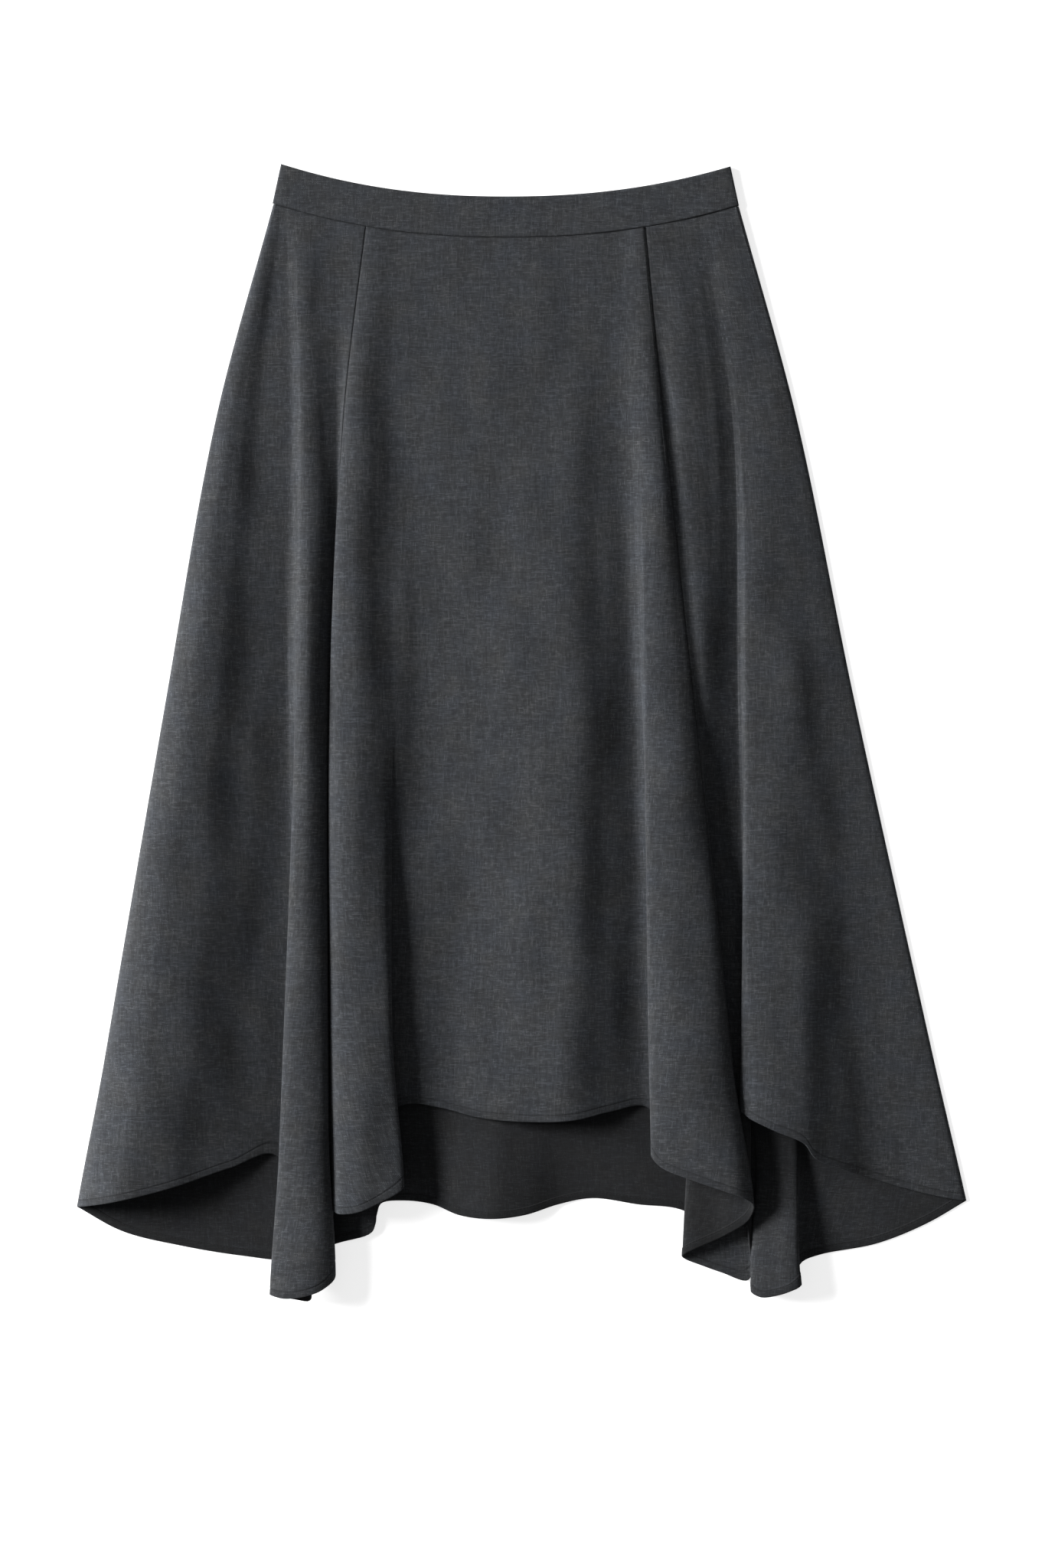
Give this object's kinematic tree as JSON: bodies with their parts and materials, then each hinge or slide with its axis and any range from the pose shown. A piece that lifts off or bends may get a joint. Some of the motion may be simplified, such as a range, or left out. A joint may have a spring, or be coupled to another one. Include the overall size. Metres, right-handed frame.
{
  "type": "asymmetric midi skirt laid flat",
  "caption": "Flared midi skirt with a contoured waistband, princess-seamed front and an uneven pointed hem, laid flat on its back with deep soft folds.",
  "frame": {"origin": "middle of the skirt's box, on the surface that its back lies on", "axes": "+X across the skirt to the viewer's right, +Y up the skirt towards the waistband, +Z out of the surface towards the viewer"},
  "size_m": [0.7266, 0.9274, 0.0262],
  "materials": {
    "charcoal_suiting": "matt charcoal melange suiting in plain weave, with fine lighter slubs"
  },
  "bodies": {
    "root": {"waistband_front": "charcoal_suiting", "waistband_back": "charcoal_suiting", "front_side_left": "charcoal_suiting", "front_centre": "charcoal_suiting", "front_side_right": "charcoal_suiting", "back_panel": "charcoal_suiting"}
  },
  "joints": []
}
